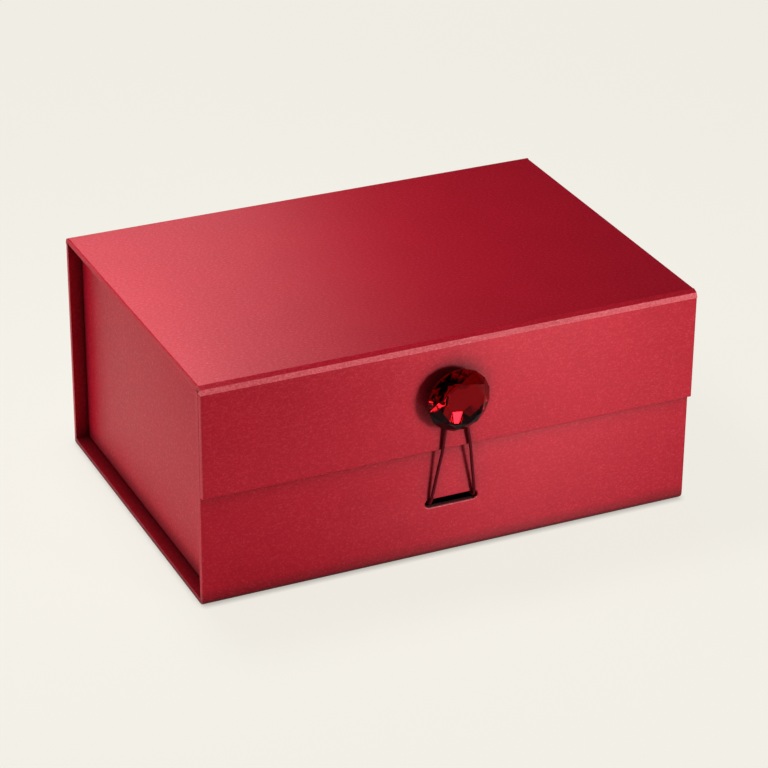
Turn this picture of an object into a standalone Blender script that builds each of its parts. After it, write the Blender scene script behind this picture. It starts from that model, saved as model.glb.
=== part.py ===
"""Magnetic gift box with a wrapped greyboard cover, an elastic loop and a faceted stone.

The cover is one line of five panels: flap, lid, spine, base and front wall. Each panel is a
greyboard wrapped in pearl paper and lined inside. Two side walls stand on the base, set in
from the cover's edges, and corner tabs with tape hold them to the front wall and the spine.
Lengths are in metres. X runs across the box, the flap is at -Y and Z is up. The origin is the
centre of the base's underside.
"""
import math

import bmesh
import bpy
from mathutils import Vector

for old in list(bpy.data.objects):
    bpy.data.objects.remove(old, do_unlink=True)

# Driving sizes of the box
CASE_WIDTH = 0.230
CASE_DEPTH = 0.161
CASE_HEIGHT = 0.104
FLAP_HEIGHT = 0.0513
SIDE_RECESS = 0.006

# Board and paper
BOARD = 0.0020
PAPER = 0.00025
GLUE_LINE = 0.0001
TURN_IN = 0.012
WALL_TURN_IN = 0.010
FOLD_ROUND = 0.0004
CREASE_RADIUS = 0.0032
CREASE_STEPS = 6

# Clearances
SEAM = 0.0003
CLOSING_GAP = 0.0003
CORNER_GAP = 0.0003

# Magnets in the flap and steel discs in the front wall
MAGNET_RADIUS = 0.005
MAGNET_THICKNESS = 0.0015
DISC_RADIUS = 0.006
DISC_THICKNESS = 0.0008
POCKET_GAP = 0.0001
MAGNET_FROM_EDGE = 0.028
MAGNET_ABOVE_FLAP_END = 0.012

# Corner tabs, their tape and the hinge paper along the foot of each side wall
TAB_WIDTH = 0.020
TAB_THICKNESS = 0.0012
TAB_MARGIN = 0.006
TAB_CHAMFER = 0.004
TAPE_WIDTH = 0.012
TAPE_THICKNESS = 0.0002
TAPE_MARGIN = 0.004
HINGE_LEG = 0.014
HINGE_END_GAP = 0.004

# Slot in the front wall, elastic loop and the bar that anchors it
SLOT_LENGTH = 0.026
SLOT_HEIGHT = 0.0040
SLOT_ABOVE_BASE = 0.0258
CORD_RADIUS = 0.0006
CORD_GAP = 0.0003
STRAND_SPREAD = 0.0103
KNOT_RADIUS = 0.0016
BAR_LENGTH = 0.034
BAR_HEIGHT = 0.006
BAR_THICKNESS = 0.0020
BAR_HOLE_GAP = 0.0003

# Stone, its shank and the pad that holds it on the flap
STONE_RADIUS = 0.0148
STONE_SIDE = -0.0010
STONE_BELOW_TOP = 0.0256
STONE_TURN = math.radians(30.0)
TABLE_RADIUS = 0.0094
CROWN_MIDDLE_RADIUS = 0.0133
CROWN_HEIGHT = 0.0034
GIRDLE_THICKNESS = 0.0025
PAVILION_DEPTH = 0.0013
CULET_RADIUS = 0.0058
PAD_RADIUS = 0.0080
PAD_THICKNESS = 0.0004
FOOT_RADIUS = 0.0070
FOOT_THICKNESS = 0.0006
STEM_RADIUS = 0.0019
STEM_LENGTH = 0.0019
COLLAR_RADIUS = 0.0045
COLLAR_THICKNESS = 0.0004

# Round counts
DISC_SIDES = 40
STEM_SIDES = 32
SLOT_END_STEPS = 8
GIRDLE_SIDES = 16

# Worked-out sizes
PANEL = BOARD + 2 * (PAPER + GLUE_LINE)
SKIN = PAPER + GLUE_LINE
HALF_WIDTH = CASE_WIDTH / 2
FRONT = -CASE_DEPTH / 2
BACK = CASE_DEPTH / 2
FLAP_FACE = FRONT - CLOSING_GAP - PANEL
WALL_TOP = CASE_HEIGHT - PANEL - CLOSING_GAP
FLAP_END = CASE_HEIGHT - FLAP_HEIGHT
CREASE_START = CREASE_RADIUS + SEAM
WALL_OUTER = HALF_WIDTH - SIDE_RECESS
WALL_INNER = WALL_OUTER - PANEL
PIVOT_INSET = CREASE_RADIUS * (1 - math.sqrt(0.5))
MAGNET_Z = FLAP_END + MAGNET_ABOVE_FLAP_END
MAGNET_X = HALF_WIDTH - MAGNET_FROM_EDGE
STONE_Z = CASE_HEIGHT - STONE_BELOW_TOP
CUT_MARGIN = 0.001


# Materials
def finish(name, colour, roughness, metallic=0.0):
    made = bpy.data.materials.new(name)
    made.use_nodes = True
    made.diffuse_color = (*colour, 1.0)
    shader = made.node_tree.nodes["Principled BSDF"]
    shader.inputs["Base Color"].default_value = (*colour, 1.0)
    shader.inputs["Roughness"].default_value = roughness
    shader.inputs["Metallic"].default_value = metallic
    return made


PEARL_PAPER = finish("pearl_red_paper", (0.50, 0.035, 0.050), 0.42, 0.25)
LINER_PAPER = finish("liner_paper", (0.36, 0.020, 0.032), 0.65)
GREYBOARD = finish("greyboard", (0.36, 0.33, 0.28), 0.85)
CARD = finish("tab_card", (0.40, 0.024, 0.036), 0.60)
TAPE = finish("adhesive_tape", (0.80, 0.78, 0.70), 0.45)
MAGNET = finish("plated_magnet", (0.72, 0.72, 0.74), 0.22, 1.0)
STEEL = finish("steel_disc", (0.55, 0.55, 0.57), 0.38, 1.0)
ELASTIC = finish("elastic_cord", (0.16, 0.006, 0.014), 0.70)
GARNET = finish("garnet_acrylic", (0.22, 0.004, 0.012), 0.05)
SHANK = finish("shank_plastic", (0.03, 0.008, 0.010), 0.35)
FOAM = finish("adhesive_pad", (0.70, 0.68, 0.62), 0.80)
BAR_PLASTIC = finish("bar_plastic", (0.05, 0.05, 0.055), 0.40)


# Placing and joining helpers
def world_spot(carrier):
    spot = Vector((0.0, 0.0, 0.0))
    while carrier is not None:
        spot += carrier.location
        carrier = carrier.parent
    return spot


def joint_axis(name, spot, carrier=None):
    """Empty on a joint's axis, which carries the pieces of one moving body."""
    empty = bpy.data.objects.new(name, None)
    bpy.context.collection.objects.link(empty)
    empty.location = Vector(spot) - world_spot(carrier)
    empty.parent = carrier
    empty.hide_render = True
    return empty


def place(piece, spot, carrier=None, turn=(0.0, 0.0, 0.0)):
    piece.location = Vector(spot) - world_spot(carrier)
    piece.rotation_euler = turn
    piece.parent = carrier


def add_piece(name, bm, material, spot, carrier=None, turn=(0.0, 0.0, 0.0)):
    mesh = bpy.data.meshes.new(name)
    bm.to_mesh(mesh)
    bm.free()
    piece = bpy.data.objects.new(name, mesh)
    bpy.context.collection.objects.link(piece)
    mesh.materials.append(material)
    place(piece, spot, carrier, turn)
    return piece


def round_shading(piece, angle=math.radians(35.0)):
    piece.data.shade_smooth()
    piece.data.set_sharp_from_angle(angle=angle)


def cut(piece, *cutters):
    for cutter in cutters:
        step = piece.modifiers.new("cut_" + cutter.name, "BOOLEAN")
        step.operation = "DIFFERENCE"
        step.solver = "EXACT"
        step.object = cutter


def add_cutter(name, bm, spot, carrier=None, turn=(0.0, 0.0, 0.0)):
    cutter = add_piece(name, bm, GREYBOARD, spot, carrier, turn)
    cutter.hide_render = True
    cutter.display_type = "WIRE"
    return cutter


# Shape helpers
def block(size):
    bm = bmesh.new()
    bmesh.ops.create_cube(bm, size=1.0)
    bmesh.ops.scale(bm, verts=bm.verts, vec=size)
    return bm


def add_slab(name, low, high, material, carrier=None):
    """Flat piece between two corners, with its origin at its own centre."""
    low = Vector(low)
    high = Vector(high)
    return add_piece(name, block(high - low), material, (low + high) / 2, carrier)


def disc(radius, thickness, sides=DISC_SIDES):
    bm = bmesh.new()
    bmesh.ops.create_cone(bm, cap_ends=True, segments=sides, radius1=radius,
                          radius2=radius, depth=thickness)
    return bm


def new_verts(grown):
    return [item for item in grown["geom"] if isinstance(item, bmesh.types.BMVert)]


def new_edges(grown):
    verts = set(new_verts(grown))
    edges = [item for item in grown["geom"] if isinstance(item, bmesh.types.BMEdge)]
    return [edge for edge in edges if set(edge.verts) <= verts]


def folded_sheet(half_width, path, inward, turn_in, folded_start, folded_end, depth=PANEL):
    """Paper laid along a path in the YZ plane and folded in at both sides.

    path holds the outer face's points and inward the direction into the panel at each. The
    sheet's ends are folded in as well where folded_start or folded_end says so.
    """
    bm = bmesh.new()
    ends = [bm.verts.new((side * half_width, *path[0])) for side in (1, -1)]
    edge = bm.edges.new(ends)
    first_edge = edge
    for step in range(1, len(path)):
        grown = bmesh.ops.extrude_edge_only(bm, edges=[edge])
        run = Vector(path[step]) - Vector(path[step - 1])
        bmesh.ops.translate(bm, verts=new_verts(grown), vec=(0.0, *run))
        edge = new_edges(grown)[0]
    last_edge = edge
    rim = [e for e in bm.edges if e.is_boundary and e not in (first_edge, last_edge)]
    if folded_start:
        rim.append(first_edge)
    if folded_end:
        rim.append(last_edge)

    # First fold: over the panel's edge
    grown = bmesh.ops.extrude_edge_only(bm, edges=rim)
    lips = new_edges(grown)
    index_of = {}
    for vert in new_verts(grown):
        gaps = [(Vector(point) - vert.co.yz).length for point in path]
        index_of[vert] = gaps.index(min(gaps))
    for vert, index in index_of.items():
        vert.co += Vector((0.0, *inward[index])) * depth

    # Second fold: on to the panel's inner face
    grown = bmesh.ops.extrude_edge_only(bm, edges=lips)
    start_run = (Vector(path[1]) - Vector(path[0])).normalized()
    end_run = (Vector(path[-2]) - Vector(path[-1])).normalized()
    inner = [Vector(point) + Vector(way) * depth for point, way in zip(path, inward)]
    for vert in new_verts(grown):
        gaps = [(point - vert.co.yz).length for point in inner]
        index = gaps.index(min(gaps))
        vert.co.x -= math.copysign(turn_in, vert.co.x)
        if folded_start and index == 0:
            vert.co += Vector((0.0, *start_run)) * turn_in
        if folded_end and index == len(path) - 1:
            vert.co += Vector((0.0, *end_run)) * turn_in

    bm.normal_update()
    bm.faces.ensure_lookup_table()
    if bm.faces[0].normal.yz.dot(Vector(inward[0])) > 0:
        bmesh.ops.reverse_faces(bm, faces=bm.faces)

    # The outer folds are rounded by the paper that runs over the board's edge
    outer = [e for e in bm.edges if len(e.link_faces) == 2
             and e.calc_face_angle() > math.radians(60.0)
             and all(v not in index_of for v in e.verts)]
    bmesh.ops.bevel(bm, geom=outer, offset=FOLD_ROUND, segments=2, affect="EDGES",
                    profile=0.5, material=-1)
    return bm


def add_wrap(name, path, inward, spot, carrier=None, folded_start=False, folded_end=False,
             half_width=HALF_WIDTH, turn_in=TURN_IN, turn=(0.0, 0.0, 0.0), material=PEARL_PAPER):
    bm = folded_sheet(half_width, path, inward, turn_in, folded_start, folded_end)
    wrap = add_piece(name, bm, material, spot, carrier, turn)
    paper = wrap.modifiers.new("paper", "SOLIDIFY")
    paper.thickness = PAPER
    paper.offset = -1.0
    paper.use_even_offset = True
    return wrap


def quarter_arc(centre, start_angle):
    """Points and inward directions along a quarter crease, read in steps from start_angle."""
    points = []
    inward = []
    for step in range(CREASE_STEPS + 1):
        angle = start_angle + math.radians(90.0) * step / CREASE_STEPS
        way = Vector((math.cos(angle), math.sin(angle)))
        points.append(tuple(Vector(centre) + way * CREASE_RADIUS))
        inward.append(tuple(-way))
    return points, inward


# Joint axes: the two creases that move and the slot that the elastic loop swings in
LID_AXIS = (0.0, BACK - PIVOT_INSET, CASE_HEIGHT - PIVOT_INSET)
FLAP_AXIS = (0.0, FLAP_FACE + PIVOT_INSET, CASE_HEIGHT - PIVOT_INSET)
LOOP_AXIS = (0.0, FRONT, SLOT_ABOVE_BASE)
lid_axis = joint_axis("lid_axis", LID_AXIS)
flap_axis = joint_axis("flap_axis", FLAP_AXIS, lid_axis)
loop_axis = joint_axis("loop_axis", LOOP_AXIS)

BOARD_HALF = HALF_WIDTH - SKIN
LINER_HALF = HALF_WIDTH - TURN_IN - SEAM


# Base: the paper takes in the two lower creases
def add_base():
    front_points, front_inward = quarter_arc((CREASE_RADIUS, CREASE_RADIUS), math.radians(180.0))
    back_points, back_inward = quarter_arc((CASE_DEPTH - CREASE_RADIUS, CREASE_RADIUS),
                                           math.radians(270.0))
    add_wrap("base_wrap", front_points + back_points, front_inward + back_inward,
             (0.0, FRONT, 0.0))
    add_slab("base_board", (-BOARD_HALF, FRONT + CREASE_START, SKIN),
             (BOARD_HALF, BACK - CREASE_START, SKIN + BOARD), GREYBOARD)
    add_slab("base_liner", (-LINER_HALF, FRONT + PANEL + SEAM, PANEL - PAPER),
             (LINER_HALF, BACK - PANEL - SEAM, PANEL), LINER_PAPER)


# Spine: the fixed back wall of the cover
def add_spine():
    low = CREASE_START
    high = CASE_HEIGHT - CREASE_START
    add_wrap("spine_wrap", [(0.0, 0.0), (0.0, high - low)], [(-1.0, 0.0), (-1.0, 0.0)],
             (0.0, BACK, low))
    add_slab("spine_board", (-BOARD_HALF, BACK - SKIN - BOARD, low),
             (BOARD_HALF, BACK - SKIN, high), GREYBOARD)
    add_slab("spine_liner", (-LINER_HALF, BACK - PANEL, PANEL + SEAM),
             (LINER_HALF, BACK - PANEL + PAPER, high), LINER_PAPER)


# Front wall: slotted for the elastic loop, with a steel disc behind each magnet
def stadium(length, height, depth):
    """Upright slot shape: a bar whose two ends are half rounds, thick along Y."""
    bm = bmesh.new()
    reach = length / 2 - height / 2
    rim = []
    for end, start in ((1, -90.0), (-1, 90.0)):
        for step in range(SLOT_END_STEPS + 1):
            angle = math.radians(start + 180.0 * step / SLOT_END_STEPS)
            x = end * reach + math.cos(angle) * height / 2
            rim.append(bm.verts.new((x, -depth / 2, math.sin(angle) * height / 2)))
    face = bm.faces.new(rim)
    grown = bmesh.ops.extrude_face_region(bm, geom=[face])
    bmesh.ops.translate(bm, verts=new_verts(grown), vec=(0.0, depth, 0.0))
    bmesh.ops.recalc_face_normals(bm, faces=bm.faces)
    return bm


def add_pockets(name, radius, depth, y, toward, carrier=None):
    """Pair of round cutters that reach depth into a board from its face at y."""
    pockets = []
    for side, mark in ((-1, "left"), (1, "right")):
        reach = depth + CUT_MARGIN
        spot = (side * MAGNET_X, y + toward * (depth - reach / 2), MAGNET_Z)
        pockets.append(add_cutter(name + "_" + mark, disc(radius, reach), spot, carrier,
                                  (math.radians(90.0), 0.0, 0.0)))
    return pockets


def add_front_wall():
    low = CREASE_START
    punch = add_cutter("slot_punch", stadium(SLOT_LENGTH, SLOT_HEIGHT, PANEL + 2 * CUT_MARGIN),
                       (0.0, FRONT + PANEL / 2, SLOT_ABOVE_BASE))
    wrap = add_wrap("front_wall_wrap", [(0.0, 0.0), (0.0, WALL_TOP - low)],
                    [(1.0, 0.0), (1.0, 0.0)], (0.0, FRONT, low), folded_end=True)
    board = add_slab("front_wall_board", (-BOARD_HALF, FRONT + SKIN, low),
                     (BOARD_HALF, FRONT + SKIN + BOARD, WALL_TOP - SKIN), GREYBOARD)
    liner = add_slab("front_wall_liner", (-LINER_HALF, FRONT + PANEL - PAPER, PANEL + SEAM),
                     (LINER_HALF, FRONT + PANEL, WALL_TOP - TURN_IN - SEAM), LINER_PAPER)
    cut(wrap, punch)
    cut(liner, punch)
    pocket_depth = DISC_THICKNESS + 2 * POCKET_GAP
    pockets = add_pockets("disc_pocket", DISC_RADIUS + POCKET_GAP, pocket_depth,
                          FRONT + SKIN, 1)
    cut(board, punch, *pockets)
    for side, mark in ((-1, "left"), (1, "right")):
        spot = (side * MAGNET_X, FRONT + SKIN + pocket_depth / 2, MAGNET_Z)
        plate = add_piece("steel_disc_" + mark, disc(DISC_RADIUS, DISC_THICKNESS), STEEL, spot,
                          None, (math.radians(90.0), 0.0, 0.0))
        round_shading(plate)


# Side walls: wrapped on all four edges and set in from the cover's edges
def add_side_wall(side, mark):
    low = PANEL + GLUE_LINE
    height = WALL_TOP - low
    half_depth = CASE_DEPTH / 2 - PANEL - CORNER_GAP
    turn = (0.0, 0.0, math.radians(90.0) * side)
    add_wrap("side_wall_wrap_" + mark, [(0.0, 0.0), (0.0, height)], [(1.0, 0.0), (1.0, 0.0)],
             (side * WALL_OUTER, 0.0, low), None, True, True, half_depth, WALL_TURN_IN, turn)
    board_x = sorted((side * (WALL_OUTER - SKIN), side * (WALL_OUTER - SKIN - BOARD)))
    add_slab("side_wall_board_" + mark, (board_x[0], -half_depth + SKIN, low + SKIN),
             (board_x[1], half_depth - SKIN, WALL_TOP - SKIN), GREYBOARD)
    liner_x = sorted((side * WALL_INNER, side * (WALL_INNER + PAPER)))
    trim = WALL_TURN_IN + SEAM
    add_slab("side_wall_liner_" + mark, (liner_x[0], -half_depth + trim, low + trim),
             (liner_x[1], half_depth - trim, WALL_TOP - trim), LINER_PAPER)


def add_hinge_paper(side, mark):
    """Paper angle glued to the base and up the inner foot of a side wall."""
    length = CASE_DEPTH - 2 * (PANEL + TAPE_THICKNESS + TAB_THICKNESS + HINGE_END_GAP)
    bm = bmesh.new()
    corners = [(0.0, 0.0), (HINGE_LEG, 0.0), (HINGE_LEG, PAPER), (PAPER, PAPER),
               (PAPER, HINGE_LEG), (0.0, HINGE_LEG)]
    verts = [bm.verts.new((-side * x, -length / 2, z)) for x, z in corners]
    face = bm.faces.new(verts)
    grown = bmesh.ops.extrude_face_region(bm, geom=[face])
    bmesh.ops.translate(bm, verts=new_verts(grown), vec=(0.0, length, 0.0))
    bmesh.ops.recalc_face_normals(bm, faces=bm.faces)
    add_piece("hinge_paper_" + mark, bm, LINER_PAPER,
              (side * (WALL_INNER - GLUE_LINE), 0.0, PANEL + GLUE_LINE))


# Corner tabs: card flaps hinged on the side walls and taped to the front wall and the spine
def add_corner_tab(side, mark, end, place_name):
    wall_face = (CASE_DEPTH / 2 - PANEL) * end
    tape_face = wall_face - end * GLUE_LINE
    tab_face = tape_face - end * (TAPE_THICKNESS + GLUE_LINE)
    outer_x = WALL_INNER - CORNER_GAP
    low = PANEL + TAB_MARGIN
    high = WALL_TOP - TAB_MARGIN
    bm = block((TAB_WIDTH, TAB_THICKNESS, high - low))
    free_edges = [e for e in bm.edges if all(v.co.x * side < 0 for v in e.verts)
                  and abs(e.verts[0].co.y - e.verts[1].co.y) > TAB_THICKNESS / 2]
    bmesh.ops.bevel(bm, geom=free_edges, offset=TAB_CHAMFER, segments=1, affect="EDGES",
                    profile=0.5, material=-1)
    name = mark + "_" + place_name
    add_piece("corner_tab_" + name, bm, CARD,
              (side * (outer_x - TAB_WIDTH / 2), tab_face - end * TAB_THICKNESS / 2,
               (low + high) / 2))
    tape_x = outer_x - TAB_WIDTH / 2
    tape = block((TAPE_WIDTH, TAPE_THICKNESS, high - low - 2 * TAPE_MARGIN))
    add_piece("tape_strip_" + name, tape, TAPE,
              (side * tape_x, tape_face - end * TAPE_THICKNESS / 2, (low + high) / 2))


# Lid: top panel that turns about the crease over the spine
def add_lid():
    start = BACK - CREASE_START
    end = FLAP_FACE + CREASE_START
    underside = CASE_HEIGHT - PANEL
    add_wrap("lid_wrap", [(0.0, 0.0), (end - start, 0.0)], [(0.0, -1.0), (0.0, -1.0)],
             (0.0, start, CASE_HEIGHT), lid_axis)
    add_slab("lid_board", (-BOARD_HALF, end, underside + SKIN),
             (BOARD_HALF, start, underside + SKIN + BOARD), GREYBOARD, lid_axis)
    add_slab("lid_liner", (-LINER_HALF, end, underside),
             (LINER_HALF, start, underside + PAPER), LINER_PAPER, lid_axis)
    points, inward = quarter_arc((0.0, 0.0), 0.0)
    add_wrap("lid_crease", points, inward,
             (0.0, BACK - CREASE_RADIUS, CASE_HEIGHT - CREASE_RADIUS))


# Flap: front panel that hangs from the lid and holds the magnets and the stone
def add_flap():
    start = CASE_HEIGHT - CREASE_START
    inner = FLAP_FACE + PANEL
    add_wrap("flap_wrap", [(0.0, 0.0), (0.0, FLAP_END - start)], [(1.0, 0.0), (1.0, 0.0)],
             (0.0, FLAP_FACE, start), flap_axis, folded_end=True)
    board = add_slab("flap_board", (-BOARD_HALF, FLAP_FACE + SKIN, FLAP_END + SKIN),
                     (BOARD_HALF, inner - SKIN, start), GREYBOARD, flap_axis)
    add_slab("flap_liner", (-LINER_HALF, inner - PAPER, FLAP_END + TURN_IN + SEAM),
             (LINER_HALF, inner, start), LINER_PAPER, flap_axis)
    pocket_depth = MAGNET_THICKNESS + 2 * POCKET_GAP
    pockets = add_pockets("magnet_pocket", MAGNET_RADIUS + POCKET_GAP, pocket_depth,
                          inner - SKIN, -1, flap_axis)
    cut(board, *pockets)
    for side, mark in ((-1, "left"), (1, "right")):
        spot = (side * MAGNET_X, inner - SKIN - pocket_depth / 2, MAGNET_Z)
        magnet = add_piece("magnet_" + mark, disc(MAGNET_RADIUS, MAGNET_THICKNESS), MAGNET,
                           spot, flap_axis, (math.radians(90.0), 0.0, 0.0))
        round_shading(magnet)
    points, inward = quarter_arc((0.0, 0.0), math.radians(90.0))
    add_wrap("flap_crease", points, inward,
             (0.0, FLAP_FACE + CREASE_RADIUS, CASE_HEIGHT - CREASE_RADIUS), lid_axis)


# Stone closure: levels are heights above the flap's outer face
PAD_TOP = GLUE_LINE + PAD_THICKNESS
FOOT_LOW = PAD_TOP + GLUE_LINE
STEM_LOW = FOOT_LOW + FOOT_THICKNESS
COLLAR_LOW = STEM_LOW + STEM_LENGTH
COLLAR_TOP = COLLAR_LOW + COLLAR_THICKNESS
CULET = COLLAR_TOP + GLUE_LINE
GIRDLE_BACK = CULET + PAVILION_DEPTH
GIRDLE_FRONT = GIRDLE_BACK + GIRDLE_THICKNESS
TABLE = GIRDLE_FRONT + CROWN_HEIGHT
STONE_SPOT = (STONE_SIDE, FLAP_FACE, STONE_Z)
FACE_FRONT = (math.radians(90.0), 0.0, 0.0)


def ring(bm, count, radius, level, start=0.0):
    verts = []
    for step in range(count):
        angle = STONE_TURN + start + math.tau * step / count
        verts.append(bm.verts.new((radius * math.cos(angle), radius * math.sin(angle), level)))
    return verts


def brilliant():
    """Round brilliant: eight stars, eight kites and sixteen girdle facets round a flat table."""
    bm = bmesh.new()
    mains = GIRDLE_SIDES // 2
    half = math.tau / GIRDLE_SIDES
    slope = CROWN_HEIGHT / (STONE_RADIUS - TABLE_RADIUS)
    middle_level = GIRDLE_FRONT + slope * (STONE_RADIUS - CROWN_MIDDLE_RADIUS * math.cos(half))
    table = ring(bm, mains, TABLE_RADIUS, TABLE)
    middle = ring(bm, mains, CROWN_MIDDLE_RADIUS, middle_level, half)
    front = ring(bm, GIRDLE_SIDES, STONE_RADIUS, GIRDLE_FRONT)
    back = ring(bm, GIRDLE_SIDES, STONE_RADIUS, GIRDLE_BACK)
    culet = ring(bm, mains, CULET_RADIUS, CULET)
    bm.faces.new(table)
    bm.faces.new(reversed(culet))
    for k in range(mains):
        after = (k + 1) % mains
        even = 2 * k
        odd = even + 1
        wrap = (even + 2) % GIRDLE_SIDES
        bm.faces.new((table[k], middle[k], table[after]))
        bm.faces.new((table[k], middle[k - 1], front[even], middle[k]))
        bm.faces.new((middle[k], front[even], front[odd]))
        bm.faces.new((middle[k], front[odd], front[wrap]))
        bm.faces.new((culet[k], culet[after], back[odd]))
        bm.faces.new((culet[k], back[odd], back[even]))
        bm.faces.new((culet[after], back[wrap], back[odd]))
    for j in range(GIRDLE_SIDES):
        after = (j + 1) % GIRDLE_SIDES
        bm.faces.new((front[j], back[j], back[after], front[after]))
    bmesh.ops.recalc_face_normals(bm, faces=bm.faces)
    return bm


def turned(profile, sides):
    """Solid of revolution about Z from a profile of radius and height pairs."""
    bm = bmesh.new()
    verts = [bm.verts.new((radius, 0.0, height)) for radius, height in profile]
    edges = [bm.edges.new(pair) for pair in zip(verts, verts[1:])]
    bmesh.ops.spin(bm, geom=verts + edges, cent=(0.0, 0.0, 0.0), axis=(0.0, 0.0, 1.0),
                   angle=math.tau, steps=sides, use_merge=True)
    bmesh.ops.remove_doubles(bm, verts=bm.verts, dist=0.000001)
    bmesh.ops.recalc_face_normals(bm, faces=bm.faces)
    return bm


def add_stone():
    pad = add_piece("stone_pad", disc(PAD_RADIUS, PAD_THICKNESS), FOAM,
                    (STONE_SIDE, FLAP_FACE - GLUE_LINE - PAD_THICKNESS / 2, STONE_Z),
                    flap_axis, FACE_FRONT)
    round_shading(pad)
    profile = [(0.0, FOOT_LOW), (FOOT_RADIUS, FOOT_LOW), (FOOT_RADIUS, STEM_LOW),
               (STEM_RADIUS, STEM_LOW), (STEM_RADIUS, COLLAR_LOW), (COLLAR_RADIUS, COLLAR_LOW),
               (COLLAR_RADIUS, COLLAR_TOP), (0.0, COLLAR_TOP)]
    shank = add_piece("stone_shank", turned(profile, STEM_SIDES), SHANK, STONE_SPOT, flap_axis,
                      FACE_FRONT)
    round_shading(shank)
    add_piece("garnet_stone", brilliant(), GARNET, STONE_SPOT, flap_axis, FACE_FRONT)


# Elastic loop: round the shank, down over the flap's end, in at the slot and through the bar
HOOK_RADIUS = STEM_RADIUS + CORD_GAP + CORD_RADIUS
CORD_CLEAR = CORD_GAP + CORD_RADIUS
HOOK_Y = FLAP_FACE - (STEM_LOW + COLLAR_LOW) / 2
BAR_FACE = FRONT + PANEL + CORD_GAP
BAR_BACK = BAR_FACE + BAR_THICKNESS
SLOT_TOP = SLOT_ABOVE_BASE + SLOT_HEIGHT / 2
POINT_STEP = 0.0016


def strand_route(side):
    """Points of one strand from its knot inside the box up to the shank."""
    spread = side * STRAND_SPREAD
    on_edge = side * (STRAND_SPREAD * 0.64)
    foot = Vector((on_edge, FLAP_FACE - CORD_CLEAR, FLAP_END))
    lean = math.atan2(abs(on_edge) - HOOK_RADIUS, STONE_Z - FLAP_END)
    hook = Vector((STONE_SIDE + side * HOOK_RADIUS * math.cos(lean), HOOK_Y,
                   STONE_Z + HOOK_RADIUS * math.sin(lean)))
    knot_y = BAR_BACK + CORD_GAP + KNOT_RADIUS
    route = [Vector((spread, knot_y + KNOT_RADIUS, SLOT_ABOVE_BASE)),
             Vector((spread, BAR_FACE, SLOT_ABOVE_BASE)),
             Vector((spread, FRONT + PANEL / 2, SLOT_ABOVE_BASE + 0.0002)),
             Vector((spread, FRONT - 0.0001, SLOT_TOP - CORD_CLEAR - 0.0003)),
             Vector((spread * 0.985, FRONT - CORD_CLEAR - 0.0002, SLOT_TOP + 0.0006)),
             Vector((spread * 0.96, FRONT - CORD_CLEAR - 0.0007, SLOT_TOP + 0.0030))]
    start = route[-1]
    for share in (0.33, 0.66):
        route.append(start.lerp(foot, share))
    route.append(foot + Vector((side * 0.0001, 0.0, -0.0008)))
    route.append(foot + Vector((-side * 0.0002, 0.0, 0.0012)))
    for share in (0.25, 0.5, 0.75, 1.0):
        route.append(foot.lerp(hook, share))
    return route, lean


def smooth_points(route, step):
    """Points a step apart on a smooth curve that passes through the route."""
    padded = [route[0] * 2 - route[1]] + route + [route[-1] * 2 - route[-2]]
    points = [route[0].copy()]
    for before, start, end, after in zip(padded, padded[1:], padded[2:], padded[3:]):
        length = (end - start).length
        count = max(1, round(length / step))
        pull_start = (end - before) * (length / ((end - start).length + (start - before).length))
        pull_end = (after - start) * (length / ((after - end).length + (end - start).length))
        for index in range(1, count + 1):
            t = index / count
            points.append(start * (2 * t ** 3 - 3 * t ** 2 + 1)
                          + pull_start * (t ** 3 - 2 * t ** 2 + t)
                          + end * (3 * t ** 2 - 2 * t ** 3)
                          + pull_end * (t ** 3 - t ** 2))
    return points


def add_elastic():
    left, lean = strand_route(-1)
    right, lean = strand_route(1)
    arc = []
    steps = 7
    for index in range(1, steps):
        angle = math.pi - lean - (math.pi - 2 * lean) * index / steps
        arc.append(Vector((STONE_SIDE + HOOK_RADIUS * math.cos(angle), HOOK_Y,
                           STONE_Z + HOOK_RADIUS * math.sin(angle))))
    strand = smooth_points(left, POINT_STEP * 1.6)
    points = strand + arc + list(reversed(smooth_points(right, POINT_STEP * 1.6)))
    curve = bpy.data.curves.new("elastic_loop", "CURVE")
    curve.dimensions = "3D"
    curve.bevel_depth = CORD_RADIUS
    curve.bevel_resolution = 2
    curve.use_fill_caps = True
    spline = curve.splines.new("POLY")
    spline.points.add(len(points) - 1)
    origin = Vector(LOOP_AXIS)
    knot_end = BAR_BACK + CORD_GAP
    for spot, target in zip(points, spline.points):
        target.co = (*(spot - origin), 1.0)
        inside = spot.y - knot_end
        if inside > 0:
            swell = math.sin(math.pi * min(1.0, max(0.12, inside / (2 * KNOT_RADIUS))))
            target.radius = 1.0 + (KNOT_RADIUS / CORD_RADIUS - 1.0) * max(0.0, swell)
    loop = bpy.data.objects.new("elastic_loop", curve)
    bpy.context.collection.objects.link(loop)
    curve.materials.append(ELASTIC)
    place(loop, LOOP_AXIS, loop_axis)


# Anchor bar: lies across the slot inside the box, with the knotted ends through its two holes
def add_anchor_bar():
    centre = (0.0, BAR_FACE + BAR_THICKNESS / 2, SLOT_ABOVE_BASE)
    bar = add_piece("anchor_bar", stadium(BAR_LENGTH, BAR_HEIGHT, BAR_THICKNESS), BAR_PLASTIC,
                    centre)
    round_shading(bar)
    for side, mark in ((-1, "left"), (1, "right")):
        hole = disc(CORD_RADIUS + BAR_HOLE_GAP, BAR_THICKNESS + 2 * CUT_MARGIN, 16)
        cut(bar, add_cutter("bar_hole_" + mark, hole, (side * STRAND_SPREAD, *centre[1:]), None,
                            (math.radians(90.0), 0.0, 0.0)))


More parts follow.
